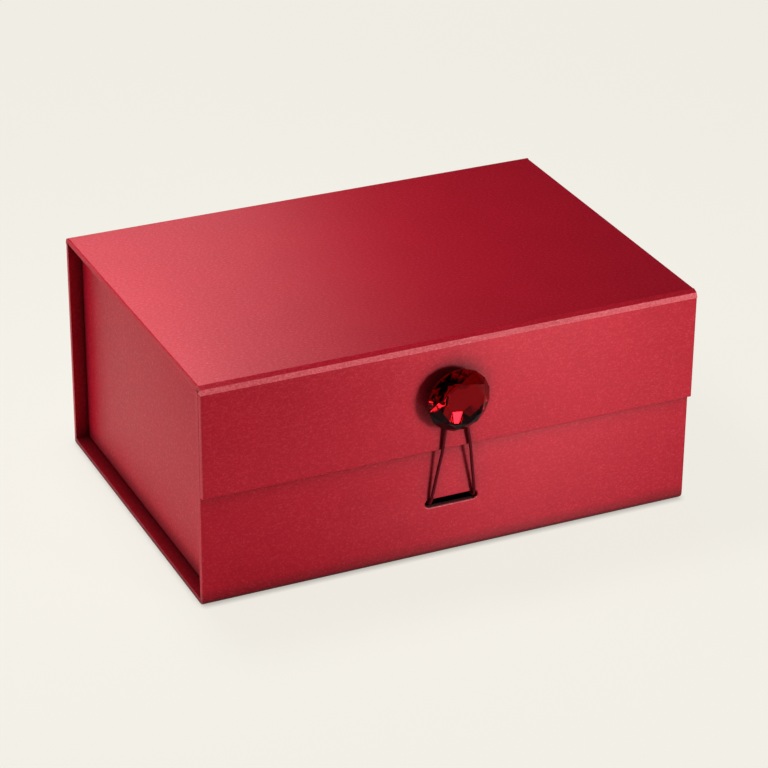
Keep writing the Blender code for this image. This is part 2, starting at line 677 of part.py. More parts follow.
add_base()
add_spine()
add_front_wall()
for wall_side, wall_mark in ((-1, "left"), (1, "right")):
    add_side_wall(wall_side, wall_mark)
    add_hinge_paper(wall_side, wall_mark)
    for wall_end, end_name in ((-1, "front"), (1, "rear")):
        add_corner_tab(wall_side, wall_mark, wall_end, end_name)
add_lid()
add_flap()
add_stone()
add_elastic()
add_anchor_bar()
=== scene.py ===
import math

import bmesh
import bpy
from mathutils import Matrix, Vector


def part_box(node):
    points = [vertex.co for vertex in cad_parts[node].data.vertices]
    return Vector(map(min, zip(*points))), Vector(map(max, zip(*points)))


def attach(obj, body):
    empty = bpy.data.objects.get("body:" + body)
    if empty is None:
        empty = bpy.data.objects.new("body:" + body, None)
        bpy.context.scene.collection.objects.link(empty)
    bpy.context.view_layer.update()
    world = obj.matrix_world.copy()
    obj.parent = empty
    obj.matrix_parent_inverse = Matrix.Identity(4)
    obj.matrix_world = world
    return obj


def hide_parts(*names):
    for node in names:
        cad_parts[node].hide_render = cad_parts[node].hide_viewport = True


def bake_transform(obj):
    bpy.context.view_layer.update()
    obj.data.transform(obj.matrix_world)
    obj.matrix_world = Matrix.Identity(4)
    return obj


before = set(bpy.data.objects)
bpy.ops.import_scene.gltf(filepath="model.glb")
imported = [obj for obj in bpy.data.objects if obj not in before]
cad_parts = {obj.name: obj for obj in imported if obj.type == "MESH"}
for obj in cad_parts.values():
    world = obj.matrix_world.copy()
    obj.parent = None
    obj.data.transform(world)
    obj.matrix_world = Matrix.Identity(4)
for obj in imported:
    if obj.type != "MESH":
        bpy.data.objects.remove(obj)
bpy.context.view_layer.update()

# Camera: stands to the left of the box's front and looks down on it, as the photograph was
# taken. Its place, heading and lens come from lines fitted to the box's straight edges.
CAMERA_SPOT = Vector((-0.50017, -1.09316, 0.65798))
CAMERA_HEADING = math.radians(-24.801)
CAMERA_TILT = math.radians(27.064)
CAMERA_ROLL = math.radians(0.450)
FOCAL_PIXELS = 3013.0
IMAGE_WIDTH = 768.0
SENSOR_WIDTH = 36.0


def add_camera():
    level = math.cos(CAMERA_TILT)
    forward = Vector((-math.sin(CAMERA_HEADING) * level, math.cos(CAMERA_HEADING) * level,
                      -math.sin(CAMERA_TILT)))
    right = Vector((math.cos(CAMERA_HEADING), math.sin(CAMERA_HEADING), 0.0))
    upward = right.cross(forward)
    rolled_right = right * math.cos(CAMERA_ROLL) + upward * math.sin(CAMERA_ROLL)
    rolled_up = upward * math.cos(CAMERA_ROLL) - right * math.sin(CAMERA_ROLL)
    lens = bpy.data.cameras.new("camera")
    lens.sensor_width = SENSOR_WIDTH
    lens.lens = FOCAL_PIXELS / IMAGE_WIDTH * SENSOR_WIDTH
    camera = bpy.data.objects.new("camera", lens)
    turn = Matrix((rolled_right, rolled_up, -forward)).transposed().to_4x4()
    camera.matrix_world = Matrix.Translation(CAMERA_SPOT) @ turn
    bpy.context.scene.collection.objects.link(camera)
    bpy.context.scene.camera = camera


add_camera()


# Floor: a plain cream sheet that runs out flat and then turns up into a low backdrop. It shows
# the camera and the gloss mostly its own colour, so that it stays pale, with a faint shadow and
# a fine dark line where the box stands on it.
CREAM = (0.925, 0.900, 0.827, 1.0)
FLOOR_REACH = 7.0
FLOOR_SIDES = 64
FLOOR_GAP = 0.0001
BACKDROP_BEND = 0.5
BACKDROP_STEPS = 8
BACKDROP_RISE = 0.1
OWN_LIGHT = 0.90
CONTACT_REACH = 0.003
CONTACT_SHADE = 0.6
MIRRORED_REACH = 0.10
MIRRORED_SHARE = 0.6


class Wire:
    """A value inside a material. Sums on it add Math nodes to the material's tree."""

    def __init__(self, recipe, socket):
        self.recipe = recipe
        self.socket = socket

    def math_node(self, operation, first, second):
        return self.recipe.put("ShaderNodeMath", {"operation": operation}, {0: first, 1: second})

    def __add__(self, other):
        return self.math_node("ADD", self, other)

    def __radd__(self, other):
        return self.math_node("ADD", other, self)

    def __sub__(self, other):
        return self.math_node("SUBTRACT", self, other)

    def __rsub__(self, other):
        return self.math_node("SUBTRACT", other, self)

    def __mul__(self, other):
        return self.math_node("MULTIPLY", self, other)

    def __rmul__(self, other):
        return self.math_node("MULTIPLY", other, self)

    def larger(self, other):
        return self.math_node("MAXIMUM", self, other)


class Recipe:
    """A material being written. put() adds one node with its settings, values and links."""

    def __init__(self, name):
        self.material = bpy.data.materials.new(name)
        self.material.use_nodes = True
        self.tree = self.material.node_tree
        self.tree.nodes.clear()

    def put(self, kind, settings, values, output=0):
        node = self.tree.nodes.new(kind)
        for name, setting in settings.items():
            setattr(node, name, setting)
        for name, value in values.items():
            if isinstance(value, Wire):
                self.tree.links.new(value.socket, node.inputs[name])
            else:
                node.inputs[name].default_value = value
        return Wire(self, node.outputs[output])

    def close(self, surface):
        node = self.tree.nodes.new("ShaderNodeOutputMaterial")
        self.tree.links.new(surface.socket, node.inputs["Surface"])
        return self.material


def floor_paint():
    recipe = Recipe("cream_floor")
    direct, glossy, through = [
        recipe.put("ShaderNodeLightPath", {}, {}, ray)
        for ray in ("Is Camera Ray", "Is Glossy Ray", "Is Transmission Ray")]
    near, wide = [
        recipe.put("ShaderNodeAmbientOcclusion", {"samples": 4}, {"Distance": reach}, "AO")
        for reach in (CONTACT_REACH, MIRRORED_REACH)]
    mirrored = glossy.larger(through) * wide * MIRRORED_SHARE
    direct = direct * (near * CONTACT_SHADE + (1.0 - CONTACT_SHADE))
    seen = direct.larger(mirrored)
    lit = recipe.put("ShaderNodeBsdfDiffuse", {}, {"Color": CREAM}, "BSDF")
    shown = recipe.put("ShaderNodeEmission", {}, {"Color": CREAM, "Strength": 1.0}, "Emission")
    return recipe.close(recipe.put("ShaderNodeMixShader", {},
                                   {0: seen * OWN_LIGHT, 1: lit, 2: shown}, "Shader"))


def link_mesh(name, bm):
    """Makes an object in the scene of a finished bmesh."""
    mesh = bpy.data.meshes.new(name)
    bm.to_mesh(mesh)
    bm.free()
    piece = bpy.data.objects.new(name, mesh)
    bpy.context.scene.collection.objects.link(piece)
    return piece


def add_floor():
    bm = bmesh.new()
    start = bm.verts.new((0.0, 0.0, -FLOOR_GAP))
    rim = bm.verts.new((FLOOR_REACH, 0.0, -FLOOR_GAP))
    run = [bm.edges.new((start, rim))]
    last = rim
    for step in range(1, BACKDROP_STEPS + 1):
        angle = math.radians(90.0) * step / BACKDROP_STEPS
        spot = (FLOOR_REACH + BACKDROP_BEND * math.sin(angle), 0.0,
                BACKDROP_BEND * (1.0 - math.cos(angle)) - FLOOR_GAP)
        vert = bm.verts.new(spot)
        run.append(bm.edges.new((last, vert)))
        last = vert
    top = bm.verts.new(last.co + Vector((0.0, 0.0, BACKDROP_RISE)))
    run.append(bm.edges.new((last, top)))
    bmesh.ops.spin(bm, geom=list(bm.verts) + run, cent=(0.0, 0.0, 0.0), axis=(0.0, 0.0, 1.0),
                   angle=math.tau, steps=FLOOR_SIDES, use_merge=True)
    bmesh.ops.remove_doubles(bm, verts=bm.verts, dist=0.00001)
    bmesh.ops.recalc_face_normals(bm, faces=bm.faces)
    floor = link_mesh("floor", bm)
    floor.data.shade_smooth()
    floor.data.materials.append(floor_paint())


add_floor()


# Studio light: two small lamps low at the front, a stronger low one on the left for the side
# wall, and wide ones behind, whose gloss fades across the lid. A weak lamp hangs close above the
# lid's left rear corner, and the room adds very little.
LAMP_CENTRE = Vector((0.0, 0.0, 0.06))
# Name, heading and rise in degrees, then distance, width, height and watts. Heading 0 is the
# front and 90 is the right.
LAMPS = (
    ("key", 27.0, 6.0, 0.90, 0.22, 0.16, 4.6),
    ("front_left", -40.0, 8.0, 1.40, 0.34, 0.25, 1.4),
    ("left_low", -108.0, 5.0, 1.30, 0.40, 0.30, 8.7),
    ("left_high", -125.0, 72.0, 0.40, 0.12, 0.12, 1.35),
    ("back_wide", 175.0, 24.0, 1.70, 0.90, 0.30, 4.7),
    ("back_right", 168.0, 24.0, 1.70, 0.35, 0.35, 1.1),
)
ROOM_COLOUR = (0.008, 0.008, 0.008, 1.0)


def add_lamps():
    for name, heading, rise, reach, width, height, power in LAMPS:
        turn = math.radians(heading)
        lift = math.radians(rise)
        way = Vector((math.sin(turn) * math.cos(lift), -math.cos(turn) * math.cos(lift),
                      math.sin(lift)))
        light = bpy.data.lights.new(name, "AREA")
        light.shape = "RECTANGLE"
        light.size = width
        light.size_y = height
        light.energy = power
        lamp = bpy.data.objects.new(name, light)
        lamp.location = LAMP_CENTRE + way * reach
        lamp.rotation_euler = way.to_track_quat("Z", "Y").to_euler()
        bpy.context.scene.collection.objects.link(lamp)
    world = bpy.data.worlds.new("room")
    world.use_nodes = True
    world.node_tree.nodes["Background"].inputs["Color"].default_value = ROOM_COLOUR
    bpy.context.scene.world = world
    bpy.context.scene.view_settings.view_transform = "Standard"


add_lamps()


# Cover paper round the base, spine and front wall: red pearl paper glued over the greyboard and
# folded in at its edges. Its fibres lie across the box, fine flakes make it glint, and shade is
# painted into its inner corners. The slot is punched through paper, board and liner together.
COVER_LOW, COVER_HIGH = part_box("base_wrap")
HALF_WIDTH = COVER_HIGH.x
FRONT = COVER_LOW.y
BACK = COVER_HIGH.y
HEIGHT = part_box("lid_wrap")[1].z
WALL_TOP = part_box("front_wall_wrap")[1].z
LOWER_CREASE = COVER_HIGH.z
UPPER_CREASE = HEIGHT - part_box("spine_wrap")[1].z
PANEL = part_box("base_liner")[1].z
PAPER = 0.00025
REAR_FOLD = 0.0012
REAR_INSIDE = 0.0004
COVER_TURN_IN = 0.012
FOLD_ROUND = 0.0007
FOLD_STEPS = 4
SMOOTH_BELOW = 35.0
FIBRES_ACROSS = (650.0, 1250.0, 1250.0)
GLOSS_ACROSS = (0.0, 20.0, 0.0)
SPARKLE = 1.3
# Painted highlight: glint and roughness of the paler paper on faces turned to the light.
HIGHLIGHT_SPARKLE = 1.6
HIGHLIGHT_ROUGHNESS = 0.62
PEARL_DEEP = (0.36, 0.0025, 0.015, 1.0)
PEARL_LIGHT = (0.54, 0.007, 0.026, 1.0)
# Painted shade: the colour that inner corners and creases are darkened to, and how far it
# reaches.
PAINTED_CORNER_SHADE = (0.06, 0.0, 0.002, 1.0)
PAINTED_SHADE_REACH = 0.009
# Painted highlight: paler paper colours for rim and crease faces turned towards the light.
HIGHLIGHT_DEEP = (0.55, 0.040, 0.055, 1.0)
HIGHLIGHT_LIGHT = (0.95, 0.160, 0.190, 1.0)


def pearl_paper(name, fibre_scale, deep, light, sparkle, roughness=0.47, metallic=0.20):
    """Satin paper: fibres, flakes that catch the light, soft colour clouds and painted corner
    shade.
    """
    recipe = Recipe(name)
    place = recipe.put("ShaderNodeTexCoord", {}, {}, "Object")
    laid = recipe.put("ShaderNodeMapping", {"vector_type": "POINT"},
                      {"Vector": place, "Scale": fibre_scale})
    fibres = recipe.put("ShaderNodeTexNoise", {}, {"Vector": laid, "Scale": 1.0, "Detail": 2.0,
                                                   "Roughness": 0.65})
    flakes = recipe.put("ShaderNodeTexNoise", {}, {"Vector": place, "Scale": 1500.0,
                                                   "Detail": 1.0})
    clouds = recipe.put("ShaderNodeTexNoise", {}, {"Vector": place, "Scale": 45.0,
                                                   "Detail": 3.0})
    tone = fibres + (flakes - 0.5) * 0.8 + (clouds - 0.5) * 0.35
    colour = recipe.put("ShaderNodeMix", {"data_type": "RGBA"},
                        {0: tone, 6: deep, 7: light}, 2)
    # Painted shade: the colour darkens where ambient occlusion finds the surface closed in.
    open_air = recipe.put("ShaderNodeAmbientOcclusion", {"samples": 4},
                          {"Distance": PAINTED_SHADE_REACH}, "AO")
    colour = recipe.put("ShaderNodeMix", {"data_type": "RGBA"},
                        {0: open_air * open_air, 6: PAINTED_CORNER_SHADE, 7: colour}, 2)
    bump = recipe.put("ShaderNodeBump", {}, {"Strength": 0.5, "Distance": 0.00002,
                                             "Height": fibres + flakes}, "Normal")
    glint = (fibres + flakes - 1.0) * sparkle
    shader = recipe.put("ShaderNodeBsdfPrincipled", {},
                        {"Base Color": colour, "Metallic": metallic,
                         "Roughness": roughness + (flakes - 0.5) * 0.2,
                         "Specular IOR Level": 0.27, "Anisotropic": 0.80,
                         "Anisotropic Rotation": 0.25, "Coat Weight": glint,
                         "Coat Roughness": 0.4, "Normal": bump}, "BSDF")
    return recipe.close(shader)


def new_verts(grown):
    return [item for item in grown["geom"] if isinstance(item, bmesh.types.BMVert)]


def new_edges(grown):
    verts = set(new_verts(grown))
    edges = [item for item in grown["geom"] if isinstance(item, bmesh.types.BMEdge)]
    return [edge for edge in edges if set(edge.verts) <= verts]


def flat_strip(bm, half_width, path):
    """Strip along a path in the YZ plane. Gives the edges at its start and its end."""
    start = bm.edges.new([bm.verts.new((side * half_width, *path[0])) for side in (1, -1)])
    end = start
    for before, after in zip(path, path[1:]):
        grown = bmesh.ops.extrude_edge_only(bm, edges=[end])
        run = Vector(after) - Vector(before)
        bmesh.ops.translate(bm, verts=new_verts(grown), vec=(0.0, *run))
        end = new_edges(grown)[0]
    return start, end


def face_away(bm, inward):
    """Turns the sheet over if its first face looks in the inward direction."""
    bm.normal_update()
    bm.faces.ensure_lookup_table()
    if bm.faces[0].normal.yz.dot(Vector(inward)) > 0:
        bmesh.ops.reverse_faces(bm, faces=bm.faces)


def nearest(vert, points):
    """Which of the points in the YZ plane lies nearest to the vertex."""
    gaps = [(Vector(point) - vert.co.yz).length for point in points]
    return gaps.index(min(gaps))


def folded_sheet(half_width, path, inward, turn_in, folded_start, folded_end):
    """Sheet laid along a path in the YZ plane, folded in at its sides and at named ends."""
    bm = bmesh.new()
    start, end = flat_strip(bm, half_width, path)
    rim = [edge for edge in bm.edges if edge.is_boundary and edge not in (start, end)]
    if folded_start:
        rim.append(start)
    if folded_end:
        rim.append(end)

    grown = bmesh.ops.extrude_edge_only(bm, edges=rim)
    lips = new_edges(grown)
    folded = set(new_verts(grown))
    for vert in folded:
        vert.co += Vector((0.0, *inward[nearest(vert, path)])) * PANEL

    grown = bmesh.ops.extrude_edge_only(bm, edges=lips)
    start_run = (Vector(path[1]) - Vector(path[0])).normalized() * turn_in
    end_run = (Vector(path[-2]) - Vector(path[-1])).normalized() * turn_in
    inner = [Vector(point) + Vector(way) * PANEL for point, way in zip(path, inward)]
    for vert in new_verts(grown):
        index = nearest(vert, inner)
        vert.co.x -= math.copysign(turn_in, vert.co.x)
        if folded_start and index == 0:
            vert.co += Vector((0.0, *start_run))
        if folded_end and index == len(path) - 1:
            vert.co += Vector((0.0, *end_run))

    face_away(bm, inward[0])
    outer = [edge for edge in bm.edges if len(edge.link_faces) == 2
             and edge.calc_face_angle() > math.radians(60.0)
             and folded.isdisjoint(edge.verts)]
    bmesh.ops.bevel(bm, geom=outer, offset=FOLD_ROUND, segments=FOLD_STEPS, affect="EDGES",
                    profile=0.5, material=-1)
    return bm


def add_piece(name, bm, paint, smooth=SMOOTH_BELOW):
    piece = link_mesh(name, bm)
    piece.data.shade_smooth()
    piece.data.set_sharp_from_angle(angle=math.radians(smooth))
    piece.data.materials.append(paint)
    return piece


def lay_gloss(piece, centre):
    """Centres the mesh's texture space far off, so that its gloss streaks run one way."""
    piece.data.use_auto_texspace = False
    piece.data.texspace_location = centre
    piece.data.texspace_size = (1.0, 1.0, 1.0)


def thicken(piece, thickness):
    paper = piece.modifiers.new("paper", "SOLIDIFY")
    paper.thickness = thickness
    paper.offset = -1.0
    paper.use_even_offset = True


def settle(piece, *cutters):
    """Makes the piece's mesh the one that its modifiers give, and removes the cutters."""
    shown = piece.evaluated_get(bpy.context.evaluated_depsgraph_get())
    mesh = bpy.data.meshes.new_from_object(shown)
    piece.modifiers.clear()
    piece.data = mesh
    mesh.set_sharp_from_angle(angle=math.radians(SMOOTH_BELOW))
    for cutter in cutters:
        bpy.data.objects.remove(cutter, do_unlink=True)


def quarter_arc(centre, radius, start, steps):
    """Points and inward directions along a quarter crease that starts at so many degrees."""
    angles = [math.radians(start + 90.0 * step / steps) for step in range(steps + 1)]
    ways = [Vector((math.cos(angle), math.sin(angle))) for angle in angles]
    return [Vector(centre) + way * radius for way in ways], [-way for way in ways]


SLOT_LENGTH = 0.0246
SLOT_HEIGHT = 0.0038
SLOT_LEVEL = 0.0258
SLOT_ROUND = 0.0006
SLOT_END_STEPS = 12
RIM_STEPS = 6
PUNCH_MARGIN = 0.002


def slot_outline(grow, y):
    """Rim of the slot, made longer and taller by grow on every side."""
    radius = SLOT_HEIGHT / 2 + grow
    reach = SLOT_LENGTH / 2 - SLOT_HEIGHT / 2
    spots = []
    for end, start in ((1, -90.0), (-1, 90.0)):
        for step in range(SLOT_END_STEPS + 1):
            angle = math.radians(start + 180.0 * step / SLOT_END_STEPS)
            spots.append((end * reach + math.cos(angle) * radius, y,
                          SLOT_LEVEL + math.sin(angle) * radius))
    return spots


def slot_punch():
    bm = bmesh.new()
    spots = slot_outline(SLOT_ROUND, FRONT - PUNCH_MARGIN)
    face = bm.faces.new([bm.verts.new(spot) for spot in spots])
    grown = bmesh.ops.extrude_face_region(bm, geom=[face])
    bmesh.ops.translate(bm, verts=new_verts(grown), vec=(0.0, PANEL + 2 * PUNCH_MARGIN, 0.0))
    bmesh.ops.recalc_face_normals(bm, faces=bm.faces)
    return link_mesh("slot_punch", bm)


def add_case_paper():
    front, front_in = quarter_arc((FRONT + LOWER_CREASE, LOWER_CREASE), LOWER_CREASE, 180.0, 8)
    back = quarter_arc((BACK - REAR_FOLD, REAR_FOLD), REAR_FOLD, 270.0, 4)[0]
    corner = PANEL + REAR_INSIDE
    inside = quarter_arc((BACK - corner, corner), REAR_INSIDE, 270.0, 4)[0]
    back_in = [(inner - outer) / PANEL for outer, inner in zip(back, inside)]
    path = [(FRONT, WALL_TOP)] + front + back + [(BACK, HEIGHT - UPPER_CREASE)]
    inward = [(1.0, 0.0)] + front_in + back_in + [(-1.0, 0.0)]
    bm = folded_sheet(HALF_WIDTH, path, inward, COVER_TURN_IN, True, False)
    paper = add_piece("case_paper", bm, COVER_PAPER)
    thicken(paper, PAPER)
    punch = slot_punch()
    hole = paper.modifiers.new("slot", "BOOLEAN")
    hole.operation = "DIFFERENCE"
    hole.solver = "EXACT"
    hole.object = punch
    settle(paper, punch)
    lay_gloss(paper, GLOSS_ACROSS)
    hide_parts("base_wrap", "spine_wrap", "front_wall_wrap")
    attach(paper, "case")


def add_slot_rim():
    """Paper drawn down round the punched edge, and the cut wall behind it."""
    bm = bmesh.new()
    rings = []
    for step in range(RIM_STEPS + 1):
        angle = math.radians(90.0) * step / RIM_STEPS
        rings.append((SLOT_ROUND * (1.0 - math.sin(angle)),
                      FRONT + SLOT_ROUND * (1.0 - math.cos(angle))))
    rings.append((0.0, FRONT + PANEL - PAPER))
    rings.append((PAPER / 2, FRONT + PANEL - PAPER))
    rings.append((PAPER / 2, FRONT + SLOT_ROUND))
    loops = []
    for grow, y in rings:
        verts = [bm.verts.new(spot) for spot in slot_outline(grow, y)]
        loops.append([bm.edges.new(pair) for pair in zip(verts, verts[1:] + verts[:1])])
    for inner, outer in zip(loops, loops[1:] + loops[:1]):
        bmesh.ops.bridge_loops(bm, edges=inner + outer)
    bmesh.ops.recalc_face_normals(bm, faces=bm.faces)
    # Painted highlight: the rim's lower faces, which look up to the light, get the paler paper.
    for face in bm.faces:
        if face.calc_center_median().z < SLOT_LEVEL - SLOT_HEIGHT / 3:
            face.material_index = 1
    rim = add_piece("slot_rim", bm, COVER_PAPER, 50.0)
    rim.data.materials.append(PAINTED_HIGHLIGHT_PAPER)
    lay_gloss(rim, GLOSS_ACROSS)
    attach(rim, "case")


COVER_PAPER = pearl_paper("pearl_cover_paper", FIBRES_ACROSS, PEARL_DEEP, PEARL_LIGHT, SPARKLE)
# Painted highlight: the paler copy of the pearl paper.
PAINTED_HIGHLIGHT_PAPER = pearl_paper("pearl_painted_highlight_paper", FIBRES_ACROSS, HIGHLIGHT_DEEP, HIGHLIGHT_LIGHT, HIGHLIGHT_SPARKLE,
                         HIGHLIGHT_ROUGHNESS, 0.0)
add_case_paper()
add_slot_rim()


# Lid and flap paper: the same sheet as it runs on over the lid and down the flap. The boards
# stop short of each crease, so only pressed layers of paper bend there. The flap's crease has
# two facets, and the front one has a painted highlight: its paper is painted paler.
FLAP_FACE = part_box("flap_wrap")[0].y
FLAP_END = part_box("flap_wrap")[0].z
FLAP_CREASE_BACK = 0.0033
FLAP_CREASE_DROP = 0.0032
KNEE_BACK = 0.0011
KNEE_DROP = 0.0010
KNEE_SWELL = Vector((-0.00010, -0.00006))
FACET_SWELL = Vector((-0.00004, 0.0))
CREASE_PAPER = 0.0021
LID_CREASE_STEPS = 8


def add_paper(name, bm, paint, gloss, node, body):
    paper = add_piece(name, bm, paint)
    thicken(paper, PAPER)
    settle(paper)
    lay_gloss(paper, gloss)
    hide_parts(node)
    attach(paper, body)


def add_lid_paper():
    path = [(BACK - UPPER_CREASE, HEIGHT), (FLAP_FACE + FLAP_CREASE_BACK, HEIGHT)]
    bm = folded_sheet(HALF_WIDTH, path, [(0.0, -1.0), (0.0, -1.0)], COVER_TURN_IN, False, False)
    add_paper("lid_paper", bm, COVER_PAPER, GLOSS_ACROSS, "lid_wrap", "lid")


def add_flap_paper():
    path = [(FLAP_FACE, HEIGHT - FLAP_CREASE_DROP), (FLAP_FACE, FLAP_END)]
    bm = folded_sheet(HALF_WIDTH, path, [(1.0, 0.0), (1.0, 0.0)], COVER_TURN_IN, False, True)
    add_paper("flap_paper", bm, COVER_PAPER, GLOSS_ACROSS, "flap_wrap", "flap")


def crease_strip(path, inward, half_width=HALF_WIDTH):
    """Strip along a crease, as wide as the cover, facing away from the inward direction."""
    bm = bmesh.new()
    flat_strip(bm, half_width, path)
    face_away(bm, inward)
    return bm


def add_lid_crease():
    centre = (BACK - UPPER_CREASE, HEIGHT - UPPER_CREASE)
    points, ways = quarter_arc(centre, UPPER_CREASE, 0.0, LID_CREASE_STEPS)
    bm = crease_strip(points, ways[LID_CREASE_STEPS // 2])
    strip = add_piece("lid_crease_paper", bm, COVER_PAPER)
    thicken(strip, CREASE_PAPER)
    settle(strip)
    lay_gloss(strip, GLOSS_ACROSS)
    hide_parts("lid_crease")
    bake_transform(strip)


def add_flap_crease():
    back = Vector((FLAP_FACE + FLAP_CREASE_BACK, HEIGHT))
    knee = Vector((FLAP_FACE + KNEE_BACK, HEIGHT - KNEE_DROP))
    foot = Vector((FLAP_FACE, HEIGHT - FLAP_CREASE_DROP))
    path = [back]
    path += [back.lerp(knee, share) for share in (0.25, 0.55, 0.85)]
    path += [knee + KNEE_SWELL]
    path += [knee.lerp(foot, share) + FACET_SWELL for share in (0.10, 0.40, 0.75)]
    path += [foot]
    bm = crease_strip(path, (1.0, -1.0))
    # Painted highlight: the front facet below the knee gets the paler paper.
    for face in bm.faces:
        if face.calc_center_median().z < knee.y:
            face.material_index = 1
    strip = add_piece("flap_crease_paper", bm, COVER_PAPER)
    strip.data.materials.append(PAINTED_HIGHLIGHT_PAPER)
    thicken(strip, CREASE_PAPER)
    settle(strip)
    lay_gloss(strip, GLOSS_ACROSS)
    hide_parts("flap_crease")
    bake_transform(strip)


add_lid_paper()
add_flap_paper()
add_lid_crease()
add_flap_crease()


# Side wall paper: one sheet of the same pearl paper on each loose side wall, folded in on all
# four edges with mitred corners. Its fibres run from front to back.
WALL_TURN_IN = 0.010
FIBRES_ALONG = (1250.0, 650.0, 1250.0)
GLOSS_ALONG = (20.0, 0.0, 0.0)
WALL_PAPER = pearl_paper("pearl_wall_paper", FIBRES_ALONG, PEARL_DEEP, PEARL_LIGHT, SPARKLE)


def add_side_paper(side, mark):
    low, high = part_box("side_wall_wrap_" + mark)
    outer = max(abs(low.x), abs(high.x))
    half_depth = (high.y - low.y) / 2
    middle = (high.y + low.y) / 2
    height = high.z - low.z
    bm = folded_sheet(half_depth, [(0.0, 0.0), (0.0, height)], [(1.0, 0.0), (1.0, 0.0)],
                      WALL_TURN_IN, True, True)
    turn = Matrix.Rotation(math.radians(90.0) * side, 4, "Z")
    spot = Matrix.Translation((side * outer, middle, low.z))
    bmesh.ops.transform(bm, matrix=spot @ turn, verts=bm.verts)
    add_paper("side_wall_paper_" + mark, bm, WALL_PAPER, GLOSS_ALONG, "side_wall_wrap_" + mark,
              "case")


for wall_side, wall_mark in ((-1, "left"), (1, "right")):
    add_side_paper(wall_side, wall_mark)


# Greyboard: the core of every panel, pressed from grey and brown waste fibres and cut to size.
# The papers glued round it cover all of it.
BOARD_GREY = (0.30, 0.275, 0.235, 1.0)
BOARD_BROWN = (0.42, 0.37, 0.30, 1.0)


def paint_nodes(paint, *nodes):
    for node in nodes:
        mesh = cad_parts[node].data
        mesh.materials.clear()
        mesh.materials.append(paint)


def greyboard():
    recipe = Recipe("greyboard")
    place = recipe.put("ShaderNodeTexCoord", {}, {}, "Object")
    fibres = recipe.put("ShaderNodeTexNoise", {}, {"Vector": place, "Scale": 900.0,
                                                   "Detail": 4.0})
    flecks = recipe.put("ShaderNodeTexNoise", {}, {"Vector": place, "Scale": 260.0,
                                                   "Detail": 2.0})
    colour = recipe.put("ShaderNodeMix", {"data_type": "RGBA"},
                        {0: fibres * 0.6 + flecks * 0.5 - 0.05, 6: BOARD_GREY, 7: BOARD_BROWN}, 2)
    bump = recipe.put("ShaderNodeBump", {}, {"Strength": 0.5, "Distance": 0.00005,
                                             "Height": fibres}, "Normal")
    shader = recipe.put("ShaderNodeBsdfPrincipled", {},
                        {"Base Color": colour, "Roughness": 0.88, "Specular IOR Level": 0.2,
                         "Normal": bump}, "BSDF")
    return recipe.close(shader)


paint_nodes(greyboard(), "base_board", "spine_board", "front_wall_board", "side_wall_board_left",
            "side_wall_board_right", "lid_board", "flap_board")


# Liners and fold-in pieces: uncoated red paper glued inside each panel, along the foot of the
# side walls and over the board ends at the two upper creases, and red card for the corner tabs.
LINER_RED = (0.34, 0.018, 0.030, 1.0)
LINER_DEEP = (0.26, 0.011, 0.020, 1.0)
END_SHORT = 0.0003
END_OUT = 0.0002


def plain_stock(name, deep, light, scale, roughness):
    """Plain paper, card or plastic, with a fine mottle between two near colours."""
    recipe = Recipe(name)
    place = recipe.put("ShaderNodeTexCoord", {}, {}, "Object")
    fibres = recipe.put("ShaderNodeTexNoise", {}, {"Vector": place, "Scale": scale,
                                                   "Detail": 3.0})
    colour = recipe.put("ShaderNodeMix", {"data_type": "RGBA"}, {0: fibres, 6: deep, 7: light}, 2)
    bump = recipe.put("ShaderNodeBump", {}, {"Strength": 0.4, "Distance": 0.00004,
                                             "Height": fibres}, "Normal")
    shader = recipe.put("ShaderNodeBsdfPrincipled", {},
                        {"Base Color": colour, "Roughness": roughness,
                         "Specular IOR Level": 0.3, "Normal": bump}, "BSDF")
    return recipe.close(shader)


def add_end_paper(name, start, end, inward, body):
    """Strip of liner paper glued over a board's end where a crease opens."""
    bm = crease_strip([start, end], inward, HALF_WIDTH - END_SHORT)
    strip = add_piece(name, bm, LINER_PAPER)
    thicken(strip, PAPER / 2)
    settle(strip)
    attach(strip, body)


def add_end_papers():
    low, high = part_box("lid_board")
    rear, front = high.y + END_OUT, low.y - END_OUT
    add_end_paper("lid_rear_end_paper", (rear, low.z), (rear, high.z), (-1.0, 0.0), "lid")
    add_end_paper("lid_front_end_paper", (front, low.z), (front, high.z), (1.0, 0.0), "lid")
    for panel, body in (("spine", "case"), ("flap", "flap")):
        low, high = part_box(panel + "_board")
        level = high.z + END_OUT
        add_end_paper(panel + "_end_paper", (low.y, level), (high.y, level), (0.0, -1.0), body)


CORNERS = ("left_front", "left_rear", "right_front", "right_rear")
LINER_PAPER = plain_stock("liner_paper", LINER_DEEP, LINER_RED, 1300.0, 0.7)
paint_nodes(LINER_PAPER, "base_liner", "spine_liner", "front_wall_liner",
            "side_wall_liner_left", "side_wall_liner_right", "lid_liner", "flap_liner",
            "hinge_paper_left", "hinge_paper_right")
add_end_papers()
paint_nodes(plain_stock("tab_card", LINER_DEEP, LINER_RED, 700.0, 0.62),
            *["corner_tab_" + corner for corner in CORNERS])


# Tape: pale double-sided strips that stick the corner tabs to the front wall and the spine when
# the box is put together.
TAPE_PALE = (0.74, 0.71, 0.62, 1.0)
TAPE_DEEP = (0.60, 0.56, 0.46, 1.0)
paint_nodes(plain_stock("adhesive_tape", TAPE_DEEP, TAPE_PALE, 400.0, 0.4),
            *["tape_strip_" + corner for corner in CORNERS])


# Magnets and steel discs: nickel-plated magnets glued into pockets in the flap's board, and
# plain steel discs in the front wall, which they pull on to keep the box closed.
NICKEL = (0.72, 0.71, 0.69, 1.0)
STEEL = (0.50, 0.50, 0.51, 1.0)


